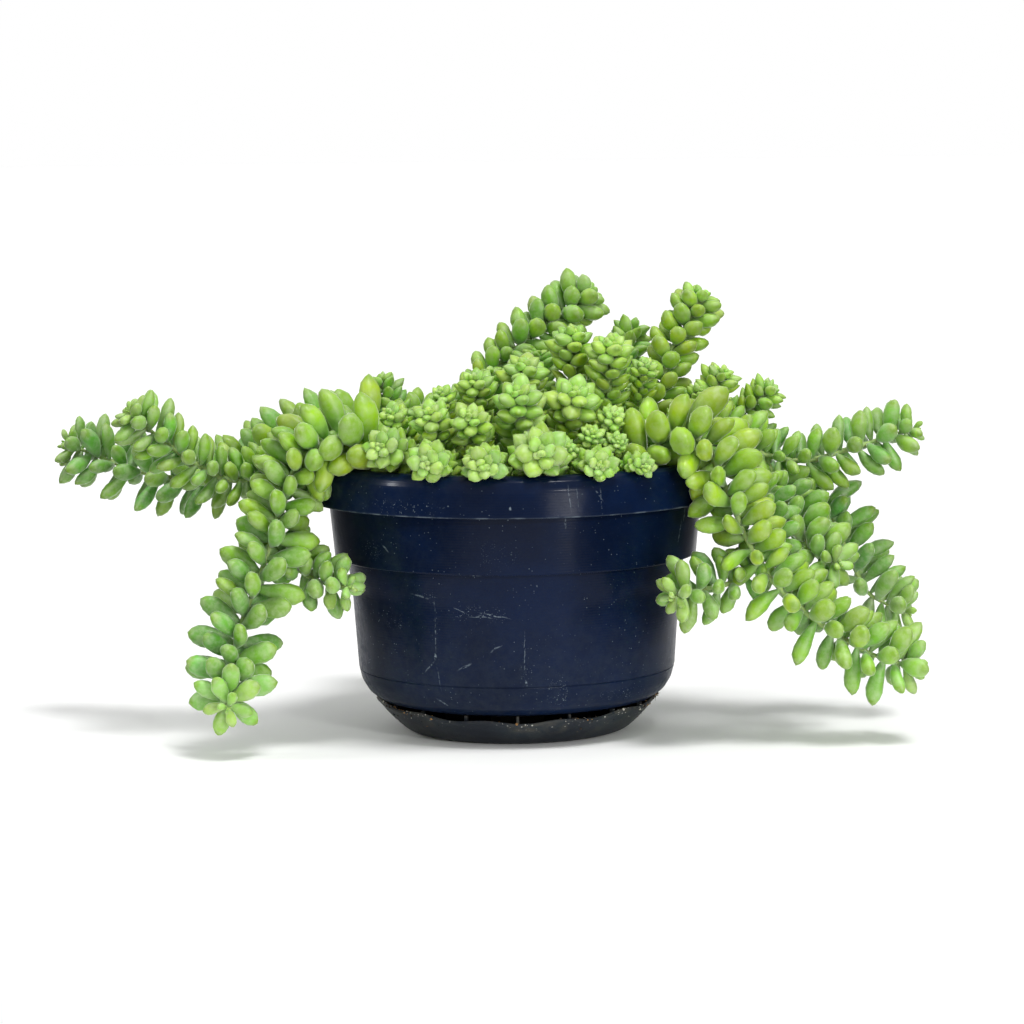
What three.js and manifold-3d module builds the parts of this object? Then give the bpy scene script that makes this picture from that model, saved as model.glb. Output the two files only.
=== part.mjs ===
// A burro's tail plant in a round plastic nursery pot with a clip-on saucer.
// Millimetres, +Z up. The origin is the middle of the saucer's flat base, on the surface it stands on,
// and the plant's front faces -Y. Each leafy stem is one closed solid: the outer form of its leaves,
// with a knob for each leaf, around a root that stands in a socket in the soil.
import * as THREE from "three";
import { mergeVertices } from "three/addons/utils/BufferGeometryUtils.js";
import Module from "manifold-3d";

const wasm = await Module();
wasm.setup();

// ---- Driving dimensions ----
const gap = 0.3; // between pieces that touch
const turns = 40; // segments round the pot, the saucer and the soil
const wall = 2; // of the pot and the saucer

const pot = {
  height: 125,
  lipRadius: 95, // the rim's lower edge, its widest point
  lipHeight: 107,
  bandRadius: 85, // the upper band, under the rim
  shoulderRadius: 77, // the body, just under the band's step
  shoulderHeight: 80,
  footRadius: 72.3, // the body's fine ring line
  footHeight: 29.4,
  baseRadius: 58,
  baseHeight: 16,
};
const drain = { count: 6, radius: 4, circle: 34, sides: 10 };

const saucer = {
  baseRadius: 48,
  rimRadius: 64.5,
  rimHeight: 13.4,
  waveHeight: 0.8,
  waves: 8,
  warp: 1.4, // how far the rim rises at the sides and drops at the front and back
};
const pin = { count: 16, width: 2.2, depth: 2.6, circle: 60, bottom: 9.8 };
const rib = { count: 8, width: 2, inner: 18, outer: 46 };

const soilHeight = 112;
const soilEdgeDrop = 2.5;
const soilEdgeWidth = 8;

const root = { radius: 2.4, depth: 7, above: 2.5, sides: 6, socketRadius: 3.3 };
const leaf = {
  sides: 8, // knobs and hollows round a tail
  hollow: 0.74, // a hollow's radius, as a share of a knob's
  pitch: 0.66, // distance between rings of knobs, as a share of the tail's radius
  ramp: 0.8, // length over which the leaves reach full size, as a share of the radius
  cap: 1, // length over which the tip closes, as a share of the radius
};

// ---- The tails ----
// reach is the distance from the stem to the leaf tips, and tip its share at the growing end.
// bare is the length of stem above the soil without leaves. The path starts where the stem leaves
// the soil, at [x, y], and then runs through [x, y, z] points to the growing tip.
const tails = {
  // rosettes along the front of the rim, left to right
  front_1: { reach: 13, path: [[-41, -39], [-48, -50, 128], [-60, -69, 139]] },
  front_2: { reach: 11.2, path: [[-29, -53], [-34, -67, 129], [-39, -86, 136]] },
  front_3: { reach: 12.5, path: [[-10, -57], [-12, -72, 129], [-14, -92, 135]] },
  front_4: { reach: 13.5, path: [[8, -55], [10, -69, 130], [12, -88, 142]] },
  front_5: { reach: 10.5, path: [[28, -55], [33, -68, 127], [38, -86, 134]] },
  front_6: { reach: 9.5, path: [[45, -49], [50, -60, 126], [58, -74, 133]] },
  // the row behind them
  middle_1: { reach: 10.5, path: [[-27, -37], [-32, -42, 132], [-38, -51, 155]] },
  middle_2: { reach: 11, path: [[-13, -40], [-16, -47, 132], [-20, -60, 154]] },
  middle_3: { reach: 12, path: [[1, -38], [2, -41, 135], [2, -51, 164]] },
  middle_4: { reach: 8, path: [[18, -46], [20, -51, 125], [23, -63, 139]] },
  middle_5: { reach: 8.5, path: [[27, -40], [31, -45, 127], [35, -55, 145]] },
  middle_6: { reach: 8, path: [[39, -36], [42, -42, 127], [46, -53, 141]] },
  middle_7: { reach: 8, path: [[33, -27], [38, -32, 134], [45, -43, 151]] },
  // the crown of the dome
  crown_1: { reach: 8.5, path: [[-42, -25], [-47, -30, 134], [-55, -39, 153]] },
  crown_2: { reach: 9.5, path: [[-27, -20], [-29, -21, 138], [-33, -28, 161]] },
  crown_3: { reach: 12.5, path: [[-13, -22], [-15, -22, 140], [-18, -29, 168]] },
  crown_4: { reach: 12.5, path: [[19, -24], [23, -27, 138], [28, -39, 162]] },
  crown_5: { reach: 11, path: [[3, -10], [4, -7, 142], [5, -8, 173]] },
  crown_6: { reach: 10.5, path: [[22, -4], [26, 0, 145], [27, 3, 186]] },
  crown_7: { reach: 15, path: [[36, -14], [42, -15, 145], [44, -17, 183]] },
  crown_8: { reach: 11, path: [[48, -12], [55, -11, 142], [60, -13, 172]] },
  // tails that stand up out of the dome
  back_tall: {
    reach: 16.5, tip: 0.9,
    path: [[-22, 14], [-23, 26, 137], [-16, 36, 153], [-3, 42, 167], [15, 47, 181], [41, 52, 199]],
  },
  right_tall: {
    reach: 16.5, tip: 0.85,
    path: [[50, 10], [60, 15, 136], [68, 20, 154], [73, 24, 170], [82, 27, 185], [91, 29, 200]],
  },
  right_rear_short: { reach: 10, path: [[35, 27], [46, 42, 150], [58, 61, 182]] },
  left_short: { reach: 10.5, path: [[-44, 6], [-53, 9, 138], [-63, 10, 163]] },
  right_short_1: { reach: 11.5, path: [[62, 0], [76, -1, 138], [88, -4, 148], [97, -6, 166]] },
  right_short_2: { reach: 10.5, path: [[60, 20], [83, 14, 140], [103, 8, 142], [121, 5, 156]] },
  right_short_3: { reach: 8, path: [[58, -22], [72, -22, 140], [86, -24, 158]] },
  // tails that trail over the rim on the right
  right_front_long: {
    reach: 22.5, tip: 0.68,
    path: [
      [50, -34], [62, -41, 132], [76, -48, 139], [88, -57, 128], [95, -63, 111], [102, -65, 94],
      [111, -63, 78], [127, -61, 61], [145, -59, 48], [163, -57, 38], [184, -54, 34],
    ],
  },
  right_level: {
    reach: 16, tip: 0.95, bare: 18,
    path: [
      [64, -10], [78, -13, 138], [94, -14, 137], [110, -12, 127], [131, -8, 122], [153, -5, 127],
      [174, -2, 133], [188, 0, 137],
    ],
  },
  right_back_long: {
    reach: 19.5, tip: 0.78, bare: 24,
    path: [
      [54, 30], [78, 26, 136], [98, 17, 132], [113, 9, 120], [127, 6, 108], [145, 8, 93],
      [154, 10, 75], [164, 10, 57], [186, 8, 48],
    ],
  },
  right_inner: {
    reach: 15.5, tip: 0.85, bare: 62,
    path: [
      [68, -24], [84, -29, 133], [101, -32, 127], [112, -36, 108], [113, -43, 88], [103, -50, 76],
      [89, -57, 72], [76, -64, 71], [65, -72, 68],
    ],
  },
  right_middle: {
    reach: 12, bare: 70,
    path: [
      [70, 2], [86, 2, 136], [104, 1, 134], [118, -7, 116], [126, -16, 97], [134, -26, 83],
      [147, -40, 79],
    ],
  },
  // tails that trail over the rim on the left
  left_long: {
    reach: 21, tip: 0.66,
    path: [
      [-56, -4], [-66, -4, 132], [-80, -3, 137], [-98, -1, 131.5], [-120, 3, 121], [-144, 8, 115],
      [-171, 14, 118], [-194, 19, 126], [-212, 23, 133],
    ],
  },
  left_raised: {
    reach: 16, tip: 0.85, bare: 66,
    path: [
      [-55, -18], [-70, -22, 134], [-86, -23, 136], [-106, -23, 124], [-127, -26, 118],
      [-147, -31, 129], [-162, -34, 141], [-176, -37, 154],
    ],
  },
  left_front_long: {
    reach: 21.5, tip: 0.8,
    path: [
      [-55, -42], [-66, -46, 132], [-80, -49, 138], [-95, -52, 129], [-103, -54, 113],
      [-107, -55, 98], [-111, -57, 85], [-116, -58, 72], [-122, -60, 57], [-126, -63, 41],
      [-127, -71, 28], [-127, -86, 20],
    ],
  },
  left_inner: {
    reach: 16, tip: 0.85, bare: 66,
    path: [
      [-58, -30], [-72, -35, 133], [-88, -36, 132], [-100, -35, 118], [-105, -36, 101],
      [-103, -38, 87], [-93, -42, 77], [-82, -48, 74], [-70, -57, 74],
    ],
  },
  // tails that trail down the back of the pot
  rear_trailing_left: {
    reach: 14, tip: 0.8,
    path: [
      [-34, 52], [-40, 64, 131], [-50, 80, 137], [-56, 95, 127], [-56, 104, 108], [-52, 108, 88],
      [-46, 112, 70], [-38, 120, 54],
    ],
  },
  rear_trailing_middle: {
    reach: 15, tip: 0.8,
    path: [
      [0, 60], [-1, 72, 131], [-4, 88, 138], [-4, 104, 129], [-2, 112, 110], [3, 116, 90],
      [8, 120, 70], [12, 128, 52], [18, 142, 40],
    ],
  },
  rear_trailing_right: {
    reach: 14, tip: 0.8,
    path: [
      [36, 50], [44, 62, 131], [54, 77, 137], [60, 92, 127], [62, 100, 108], [60, 106, 88],
      [54, 114, 70],
    ],
  },
};

// Rosettes round the back of the dome: angle from +X, distance out, height of the tip, and reach.
const rearRosettes = [
  [163, 74, 141, 12], [141, 72, 139, 12], [124, 60, 146, 12], [105, 74, 140, 12], [76, 76, 142, 12],
  [38, 78, 144, 12], [193, 46, 150, 11], [176, 30, 157, 12], [150, 47, 149, 13], [108, 44, 152, 12],
  [130, 16, 166, 12], [86, 52, 160, 13], [62, 24, 174, 13], [50, 54, 160, 12], [21, 40, 170, 12],
  [0, 50, 158, 10],
];
rearRosettes.forEach(([angle, out, height, reach], i) => {
  const turn = THREE.MathUtils.degToRad(angle);
  const point = (share, z) => [share * out * Math.cos(turn), share * out * Math.sin(turn), z];
  const start = point(0.74, 0).slice(0, 2);
  const bend = soilHeight + 0.45 * (height - soilHeight);
  tails["rear_" + (i + 1)] = { reach, path: [start, point(0.84, bend), point(1, height)] };
});

// ---- Helpers ----

// A closed mesh with its shared vertices merged, as a solid that can be joined and cut.
function solidOf(geometry) {
  const bare = geometry.clone();
  bare.deleteAttribute("normal");
  bare.deleteAttribute("uv");
  const merged = mergeVertices(bare, 1e-4);
  const index = merged.index.array;
  const kept = [];
  for (let i = 0; i < index.length; i += 3) {
    const [a, b, c] = [index[i], index[i + 1], index[i + 2]];
    if (a !== b && b !== c && c !== a) kept.push(a, b, c);
  }
  const vertProperties = new Float32Array(merged.attributes.position.array);
  return new wasm.Manifold(
    new wasm.Mesh({ numProp: 3, vertProperties, triVerts: new Uint32Array(kept) }),
  );
}

function geometryOf(solid) {
  const mesh = solid.getMesh();
  const geometry = new THREE.BufferGeometry();
  geometry.setAttribute("position", new THREE.BufferAttribute(mesh.vertProperties, 3));
  geometry.setIndex(new THREE.BufferAttribute(mesh.triVerts, 1));
  geometry.computeVertexNormals();
  return geometry;
}

// A profile of [radius, height] points turned about +Z. The profile runs anticlockwise.
function turned(profile) {
  const points = profile.map(([r, z]) => new THREE.Vector2(r, z));
  return new THREE.LatheGeometry(points, turns).rotateX(Math.PI / 2);
}

// Copies of a geometry spread evenly round +Z and joined into one solid.
function ringOf(geometry, count) {
  let joined = null;
  for (let i = 0; i < count; i++) {
    const copy = solidOf(geometry.clone().rotateZ((i * 2 * Math.PI) / count));
    joined = joined ? joined.add(copy) : copy;
  }
  return joined;
}

// ---- Pot ----
// The wall's outer line from the base up, over the rolled rim, and the inner line back down.
const potOuter = [
  [0, pot.baseHeight],
  [pot.baseRadius, pot.baseHeight],
  [63.6, 17.4],
  [67.8, 20.2],
  [70.8, 24.4],
  [pot.footRadius, pot.footHeight],
  [75, 66],
  [pot.shoulderRadius, pot.shoulderHeight],
  [82.5, 83.5],
  [pot.bandRadius, 106],
  [pot.bandRadius + 0.3, 120],
  [87, 122.6],
  [90.4, 122.4],
  [92.4, 119],
  [pot.lipRadius - wall, pot.lipHeight],
  [pot.lipRadius, pot.lipHeight],
  [94.2, 119.4],
  [92.6, 123.2],
  [89.6, pot.height],
];
const potInner = [
  [84.9, pot.height],
  [83.3, 123.4],
  [pot.bandRadius - wall, 106],
  [80.5, 85],
  [pot.shoulderRadius - wall, 81.4],
  [73, 66],
  [pot.footRadius - wall, 29.8],
  [68.4, 24.8],
  [65, 21.4],
  [pot.baseRadius - 1, pot.baseHeight + 2.5],
];

function makePot() {
  const body = solidOf(turned([...potOuter, ...potInner, [0, pot.baseHeight + 2.5]]));
  const hole = new THREE.CylinderGeometry(drain.radius, drain.radius, 4 * wall, drain.sides);
  hole.rotateX(Math.PI / 2);
  hole.translate(drain.circle, 0, pot.baseHeight + 1);
  return geometryOf(body.subtract(ringOf(hole, drain.count)));
}

// ---- Saucer ----
// A shallow dish with a wavy rim. Ribs on its floor and pins round its edge carry the pot's base.
function makeSaucer() {
  const { baseRadius, rimRadius, rimHeight } = saucer;
  const dish = turned([
    [0, 0],
    [baseRadius, 0],
    [baseRadius + 3.4, 1.2],
    [55.8, 4.6],
    [59.8, 8.2],
    [62.6, 11.2],
    [rimRadius, rimHeight - 0.4],
    [rimRadius - 0.4, rimHeight + 0.6],
    [rimRadius - 2.2, rimHeight],
    [60.4, 11.6],
    [57.8, 8.9],
    [54.2, 5.6],
    [baseRadius + 1, 2.8],
    [baseRadius - 1, wall],
    [0, wall],
  ]);
  const places = dish.attributes.position;
  for (let i = 0; i < places.count; i++) {
    const x = places.getX(i);
    const y = places.getY(i);
    const share = Math.max(0, (Math.hypot(x, y) - baseRadius) / (rimRadius - baseRadius));
    const turn = Math.atan2(y, x);
    const rise = saucer.waveHeight * Math.cos(saucer.waves * turn) + saucer.warp * Math.cos(2 * turn);
    places.setZ(i, places.getZ(i) + rise * share * share);
  }
  const seat = pot.baseHeight - gap;
  const ribHeight = seat - 1;
  const ribShape = new THREE.BoxGeometry(rib.outer - rib.inner, rib.width, ribHeight);
  ribShape.translate((rib.inner + rib.outer) / 2, 0, 1 + ribHeight / 2);
  const pinHeight = seat + 0.4 - pin.bottom;
  const pinShape = new THREE.BoxGeometry(pin.depth, pin.width, pinHeight);
  pinShape.translate(pin.circle, 0, pin.bottom + pinHeight / 2);
  return geometryOf(solidOf(dish).add(ringOf(ribShape, rib.count)).add(ringOf(pinShape, pin.count)));
}

// ---- Tails ----
const soilTop = soilHeight + root.above;

// How far leaves reach from the stem at a distance along it, before neighbours press on them.
function freeReach(tail, along, length) {
  const tip = tail.tip ?? 1;
  const bare = tail.bare ?? 1;
  const full = tail.reach * (1 + (tip - 1) * (along / length));
  const start = THREE.MathUtils.smoothstep(along, bare, bare + leaf.ramp * full);
  const left = Math.min(1, (length - along) / (leaf.cap * full));
  const end = Math.sqrt(Math.max(0, 1 - (1 - left) ** 2));
  return root.radius + (full - root.radius) * start * end;
}

// The rings that a tail's surface is drawn through, from just above the soil to the tip.
function ringsOf(tail) {
  const [[x, y], ...rest] = tail.path;
  const points = [[x, y, soilTop], ...rest].map((p) => new THREE.Vector3(...p));
  const curve = new THREE.CatmullRomCurve3(points, false, "centripetal");
  const length = curve.getLength();
  const steps = Math.round(length / (leaf.pitch * tail.reach));
  const { normals, binormals } = curve.computeFrenetFrames(steps, false);
  normals[0].setZ(0).normalize(); // the root stands upright in its socket
  binormals[0].crossVectors(new THREE.Vector3(0, 0, 1), normals[0]);
  return curve.getSpacedPoints(steps).map((centre, i) => {
    const along = (length * i) / steps;
    const free = freeReach(tail, along, length);
    return { centre, normal: normals[i], binormal: binormals[i], free };
  });
}

// The distance from a point to the pot, from its outline as a closed line of [radius, height].
function distanceToPot(point) {
  const outline = [...potOuter, ...potInner];
  const here = new THREE.Vector3(Math.hypot(point.x, point.y), point.z, 0);
  const near = new THREE.Vector3();
  let least = Infinity;
  for (let i = 1; i < outline.length; i++) {
    const start = new THREE.Vector3(...outline[i - 1], 0);
    const end = new THREE.Vector3(...outline[i], 0);
    new THREE.Line3(start, end).closestPointToPoint(here, true, near);
    least = Math.min(least, near.distanceTo(here));
  }
  return least;
}

// Leaves give way to the pot, the soil and the neighbouring tails, and two tails share the room
// between them in proportion to their own reach.
function pressRings(name, rings, allRings) {
  const between = new THREE.Vector3();
  for (const ring of rings) {
    let room = distanceToPot(ring.centre) - gap;
    if (Math.hypot(ring.centre.x, ring.centre.y) < pot.bandRadius) {
      room = Math.min(room, ring.centre.z - soilHeight - gap);
    }
    for (const [other, otherRings] of Object.entries(allRings)) {
      if (other === name) continue;
      for (let i = 1; i < otherRings.length; i++) {
        for (const share of [0, 0.5, 1]) {
          between.lerpVectors(otherRings[i - 1].centre, otherRings[i].centre, share);
          const free = THREE.MathUtils.lerp(otherRings[i - 1].free, otherRings[i].free, share);
          const part = ring.free / (ring.free + free);
          room = Math.min(room, between.distanceTo(ring.centre) * part - gap);
        }
      }
    }
    ring.reach = Math.max(0.9 * root.radius, Math.min(ring.free, room));
  }
}

// The closed surface through a tail's rings, with knobs and hollows that alternate ring by ring.
function tailGeometry(rings) {
  const places = [];
  const faces = [];
  const addRing = (centre, normal, binormal, reachAt) => {
    for (let j = 0; j < leaf.sides; j++) {
      const turn = (2 * Math.PI * j) / leaf.sides;
      const reach = reachAt(j);
      const place = centre.clone();
      place.addScaledVector(normal, reach * Math.cos(turn));
      place.addScaledVector(binormal, reach * Math.sin(turn));
      places.push(...place.toArray());
    }
  };
  const first = rings[0];
  const bottom = first.centre.clone().setZ(soilHeight - root.depth);
  places.push(...bottom.toArray());
  addRing(bottom, first.normal, first.binormal, () => root.radius);
  rings.slice(0, -1).forEach((ring, i) => {
    const knob = (j) => ((i + j) % 2 ? 1 : Math.max(leaf.hollow, root.radius / ring.reach));
    const reachAt = i === 0 ? () => root.radius : (j) => Math.min(1, knob(j)) * ring.reach;
    addRing(ring.centre, ring.normal, ring.binormal, reachAt);
  });
  places.push(...rings[rings.length - 1].centre.toArray());
  const ringCount = rings.length;
  const last = places.length / 3 - 1;
  const at = (i, j) => 1 + i * leaf.sides + (j % leaf.sides);
  for (let j = 0; j < leaf.sides; j++) {
    faces.push(0, at(0, j + 1), at(0, j));
    for (let i = 1; i < ringCount; i++) {
      faces.push(at(i - 1, j), at(i - 1, j + 1), at(i, j));
      faces.push(at(i - 1, j + 1), at(i, j + 1), at(i, j));
    }
    faces.push(at(ringCount - 1, j), at(ringCount - 1, j + 1), last);
  }
  const geometry = new THREE.BufferGeometry();
  geometry.setAttribute("position", new THREE.Float32BufferAttribute(places, 3));
  geometry.setIndex(faces);
  geometry.computeVertexNormals();
  return geometry;
}

// ---- Soil ----
// The potting mix that fills the pot, with a socket for each root.
function makeSoil() {
  const side = potInner.slice(3).map(([r, z]) => [r - gap, z + gap / 2]).reverse();
  const fill = turned([
    [0, pot.baseHeight + 2.5 + gap],
    [side[0][0], pot.baseHeight + 2.5 + gap],
    ...side.slice(1),
    [pot.bandRadius - wall - gap, 106],
    [pot.bandRadius - wall - gap, soilHeight - soilEdgeDrop],
    [pot.bandRadius - wall - soilEdgeWidth, soilHeight],
    [0, soilHeight],
  ]);
  let soil = solidOf(fill);
  const depth = root.depth + gap;
  for (const { path } of Object.values(tails)) {
    const socket = new THREE.CylinderGeometry(root.socketRadius, root.socketRadius, 2 * depth, root.sides);
    socket.rotateX(Math.PI / 2);
    socket.translate(path[0][0], path[0][1], soilHeight);
    soil = soil.subtract(solidOf(socket));
  }
  return geometryOf(soil);
}

// ---- The plant, its pot and its saucer ----
const plastic = { color: 0x1d293c, roughness: 0.38, metalness: 0 };
const looks = {
  pot: new THREE.MeshStandardMaterial(plastic),
  saucer: new THREE.MeshStandardMaterial({ ...plastic, color: 0x30373c, roughness: 0.5 }),
  soil: new THREE.MeshStandardMaterial({ color: 0x2e241b, roughness: 0.95, metalness: 0 }),
  leaves: new THREE.MeshStandardMaterial({ color: 0x88b45a, roughness: 0.55, metalness: 0 }),
};

const group = new THREE.Group();
function addPiece(name, geometry, look) {
  const mesh = new THREE.Mesh(geometry, look.clone());
  mesh.name = name;
  group.add(mesh);
}
addPiece("pot", makePot(), looks.pot);
addPiece("saucer", makeSaucer(), looks.saucer);
addPiece("soil", makeSoil(), looks.soil);

const allRings = {};
for (const [name, tail] of Object.entries(tails)) allRings[name] = ringsOf(tail);
for (const [name, rings] of Object.entries(allRings)) pressRings(name, rings, allRings);
for (const [name, rings] of Object.entries(allRings)) {
  addPiece("tail_" + name, tailGeometry(rings), looks.leaves);
}

export default group;
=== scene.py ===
import bpy, math, random
import numpy as np
from mathutils import Matrix, Vector, kdtree, noise


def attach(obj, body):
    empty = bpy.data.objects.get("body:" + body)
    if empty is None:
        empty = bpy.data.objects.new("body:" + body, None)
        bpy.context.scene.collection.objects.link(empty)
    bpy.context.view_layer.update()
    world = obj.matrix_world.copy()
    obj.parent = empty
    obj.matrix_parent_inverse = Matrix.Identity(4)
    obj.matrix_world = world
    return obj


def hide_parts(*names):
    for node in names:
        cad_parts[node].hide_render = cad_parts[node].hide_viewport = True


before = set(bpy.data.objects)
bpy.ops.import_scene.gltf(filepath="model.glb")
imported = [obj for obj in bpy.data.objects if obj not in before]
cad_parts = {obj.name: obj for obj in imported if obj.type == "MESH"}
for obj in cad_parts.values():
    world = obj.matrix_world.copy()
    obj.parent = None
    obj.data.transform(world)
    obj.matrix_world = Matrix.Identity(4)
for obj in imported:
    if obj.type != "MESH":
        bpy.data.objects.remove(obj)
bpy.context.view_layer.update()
mm = 0.001
up = np.array([0.0, 0.0, 1.0])


# small helpers
def smooth(t):
    t = np.clip(t, 0.0, 1.0)
    return t * t * (3 - 2 * t)


def blend(a, b, t):
    return a + (b - a) * t


def unit(v):
    return v / np.maximum(np.linalg.norm(v, axis=-1, keepdims=True), 1e-12)


def linear(*shown):
    # from a colour as a screen shows it, 0 to 255, to the values a shader takes
    return tuple(c / 3294 if c <= 10 else ((c / 255 + 0.055) / 1.055) ** 2.4 for c in shown) + (1,)


def linkObject(name, data):
    piece = bpy.data.objects.new(name, data)
    bpy.context.scene.collection.objects.link(piece)
    return piece


def newMesh(name, vertices, faces, skin=None, edges=()):
    mesh = bpy.data.meshes.new(name)
    mesh.from_pydata(vertices, edges, faces)
    if skin:
        mesh.materials.append(skin)
    return mesh


def store(mesh, name, values, kind="FLOAT", field="value"):
    # a value for each vertex, under a name that materials and trees read
    mesh.attributes.new(name, kind, "POINT").data.foreach_set(field, np.ravel(values))


def plainMesh(piece, name):
    # the evaluated piece as a mesh of its own, once its modifiers have run
    view = bpy.context.evaluated_depsgraph_get()
    final = piece.evaluated_get(view)
    mesh = bpy.data.meshes.new_from_object(final, preserve_all_data_layers=True, depsgraph=view)
    mesh.name = name
    return mesh


# building blocks for node trees
def fill(node, inputs):
    # a socket is linked to the input, and anything else becomes its value
    for name, value in inputs.items():
        if isinstance(value, bpy.types.NodeSocket):
            node.id_data.links.new(value, node.inputs[name])
        else:
            node.inputs[name].default_value = value


def addNode(near, kind, inputs=None, **settings):
    # near is the tree, or any socket in it
    node = near.id_data.nodes.new(kind)
    for name, value in settings.items():
        setattr(node, name, value)
    fill(node, inputs or {})
    return node


def outOf(near, kind, inputs=None, which=0, **settings):
    return addNode(near, kind, inputs, **settings).outputs[which]


def newSkin(name):
    skin = bpy.data.materials.new(name)
    skin.use_nodes = True
    tree = skin.node_tree
    tree.nodes.clear()
    shader = addNode(tree, "ShaderNodeBsdfPrincipled")
    addNode(tree, "ShaderNodeOutputMaterial", {"Surface": shader.outputs[0]})
    return skin, tree, shader


def objectPlace(tree):
    return outOf(tree, "ShaderNodeTexCoord", which="Object")


def axesOf(vector):
    return addNode(vector, "ShaderNodeSeparateXYZ", {"Vector": vector}).outputs


def trait(tree, name):
    return outOf(tree, "ShaderNodeAttribute", which="Fac", attribute_name=name)


def noiseOf(place, scale, detail=3.0, rough=0.5, distort=0.0):
    return outOf(place, "ShaderNodeTexNoise", {
        "Vector": place, "Scale": scale, "Detail": detail, "Roughness": rough, "Distortion": distort}, "Fac")


def ease(value, low, high, start=0.0, end=1.0):
    return outOf(value, "ShaderNodeMapRange", {
        "Value": value, "From Min": low, "From Max": high, "To Min": start, "To Max": end},
        interpolation_type="SMOOTHSTEP")


def mixTint(amount, first, second):
    return outOf(amount, "ShaderNodeMix", {0: amount, 6: first, 7: second}, 2, data_type="RGBA")


def mixValue(amount, first, second):
    return outOf(amount, "ShaderNodeMix", {0: amount, 2: first, 3: second}, data_type="FLOAT")


def mathOf(operation, first, *others):
    # with more than two values, each one joins the result so far
    for other in others or [0.5]:
        first = outOf(first, "ShaderNodeMath", {0: first, 1: other}, operation=operation)
    return first


def times(*values):
    return mathOf("MULTIPLY", *values)


def plus(*values):
    return mathOf("ADD", *values)


def most(*values):
    return mathOf("MAXIMUM", *values)


def vectorOf(operation, first, second):
    slot = "Scale" if operation == "SCALE" else 1
    return outOf(first, "ShaderNodeVectorMath", {0: first, slot: second}, operation=operation)


def shiftOf(cloud, reach):
    # a noise's colour as a push of up to half the reach either way
    return vectorOf("SCALE", vectorOf("SUBTRACT", cloud, (0.5, 0.5, 0.5)), reach)


def bumpOf(height, strength, distance, under=None):
    given = {"Height": height, "Strength": strength, "Distance": distance}
    if under:
        given["Normal"] = under
    return outOf(height, "ShaderNodeBump", given)


def specksOf(place, scale, share, size):
    # small round flecks, in a share of the cells
    cells = addNode(place, "ShaderNodeTexVoronoi", {
        "Vector": place, "Scale": scale, "Randomness": 1.0}).outputs
    red = outOf(place, "ShaderNodeSeparateColor", {"Color": cells["Color"]})
    dot = ease(cells["Distance"], size, size * 0.4)
    return times(mathOf("LESS_THAN", red, share), dot)


# camera
cameraSetup = {
    "place": (-1.4, -1818, 311),  # mm from the middle of the saucer's base
    "pitch": -6.646,              # degrees, looking down a little
    "roll": -0.688,               # degrees, so the right side sits a little higher
    "lens": 140.6,
    "sensor": 36,
    "farthest": 50,               # m that it sees
}


def addCamera(setup):
    data = bpy.data.cameras.new("camera")
    data.lens = setup["lens"]
    data.sensor_width = setup["sensor"]
    data.clip_end = setup["farthest"]
    camera = linkObject("camera", data)
    level = Matrix.Rotation(math.radians(90 + setup["pitch"]), 4, "X")
    roll = Matrix.Rotation(math.radians(setup["roll"]), 4, "Z")
    camera.matrix_world = Matrix.Translation(Vector(setup["place"]) * mm) @ level @ roll
    bpy.context.scene.camera = camera


# floor and light
studio = {
    # half width and place of the paper's front and back edge, in metres
    "floor": ((0.159, -0.62), (1.42, 9.0)),
    "floorTint": (0.94, 0.94, 0.94, 1),
    "floorRough": 0.9,
    "skyFront": 0.7,   # the side the camera stands on
    "skyBack": 0.85,   # the white sweep behind the plant
    "skyTop": 0.75,
    "sides": 0.3,      # how much of it is left at the sides
    "below": 0.3,      # and under the horizon
    "keyPower": 1.8,
    "keySpread": 17,   # degrees across, which makes its shadows soft
    "keyPlace": (0.19, -0.31, 0.93),
    # lamps that face one spot: place in metres, size, power
    "softboxes": {
        "stripLeft": ((-2.0, -0.5, 1.2), (0.2, 0.2), 7),
        "rimGlow": ((0.745, -1.449, 0.562), (0.2, 0.022), 7),
        "rimWall": ((0.712, -1.535, 0.143), (0.42, 0.12), 1.8),
        "wallGlow": ((0.9, -1.5, -0.05), (0.3, 0.7), 2.5),
    },
    "faced": (0, 0, 0.12),
}


def addSky(setup):
    world = bpy.data.worlds.new("studio")
    bpy.context.scene.world = world
    world.use_nodes = True
    tree = world.node_tree
    tree.nodes.clear()
    way = axesOf(outOf(tree, "ShaderNodeTexCoord", which="Generated"))
    depth = ease(way["Y"], -0.75, 0.45, setup["skyFront"], setup["skyBack"])
    aside = ease(mathOf("ABSOLUTE", way["X"]), 0.35, 0.8, 1.0, setup["sides"])
    height = ease(way["Z"], 0.35, 0.85)
    strength = mixValue(height, times(depth, aside), setup["skyTop"])
    above = outOf(tree, "ShaderNodeMapRange", {
        "Value": way["Z"], "From Min": -0.02, "From Max": 0.02, "To Min": setup["below"]})
    # the camera itself sees plain white
    seen = outOf(tree, "ShaderNodeLightPath", which="Is Camera Ray")
    shown = mixValue(seen, times(strength, above), 1.0)
    sky = outOf(tree, "ShaderNodeBackground", {"Color": (1, 1, 1, 1), "Strength": shown})
    addNode(tree, "ShaderNodeOutputWorld", {"Surface": sky})


def addKey(setup):
    # a big round lamp far away, high over the camera
    data = bpy.data.lights.new("key", "SUN")
    data.energy = setup["keyPower"]
    data.angle = math.radians(setup["keySpread"])
    turn = Vector(setup["keyPlace"]).to_track_quat("Z", "Y").to_matrix().to_4x4()
    linkObject("key", data).matrix_world = turn


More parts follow.
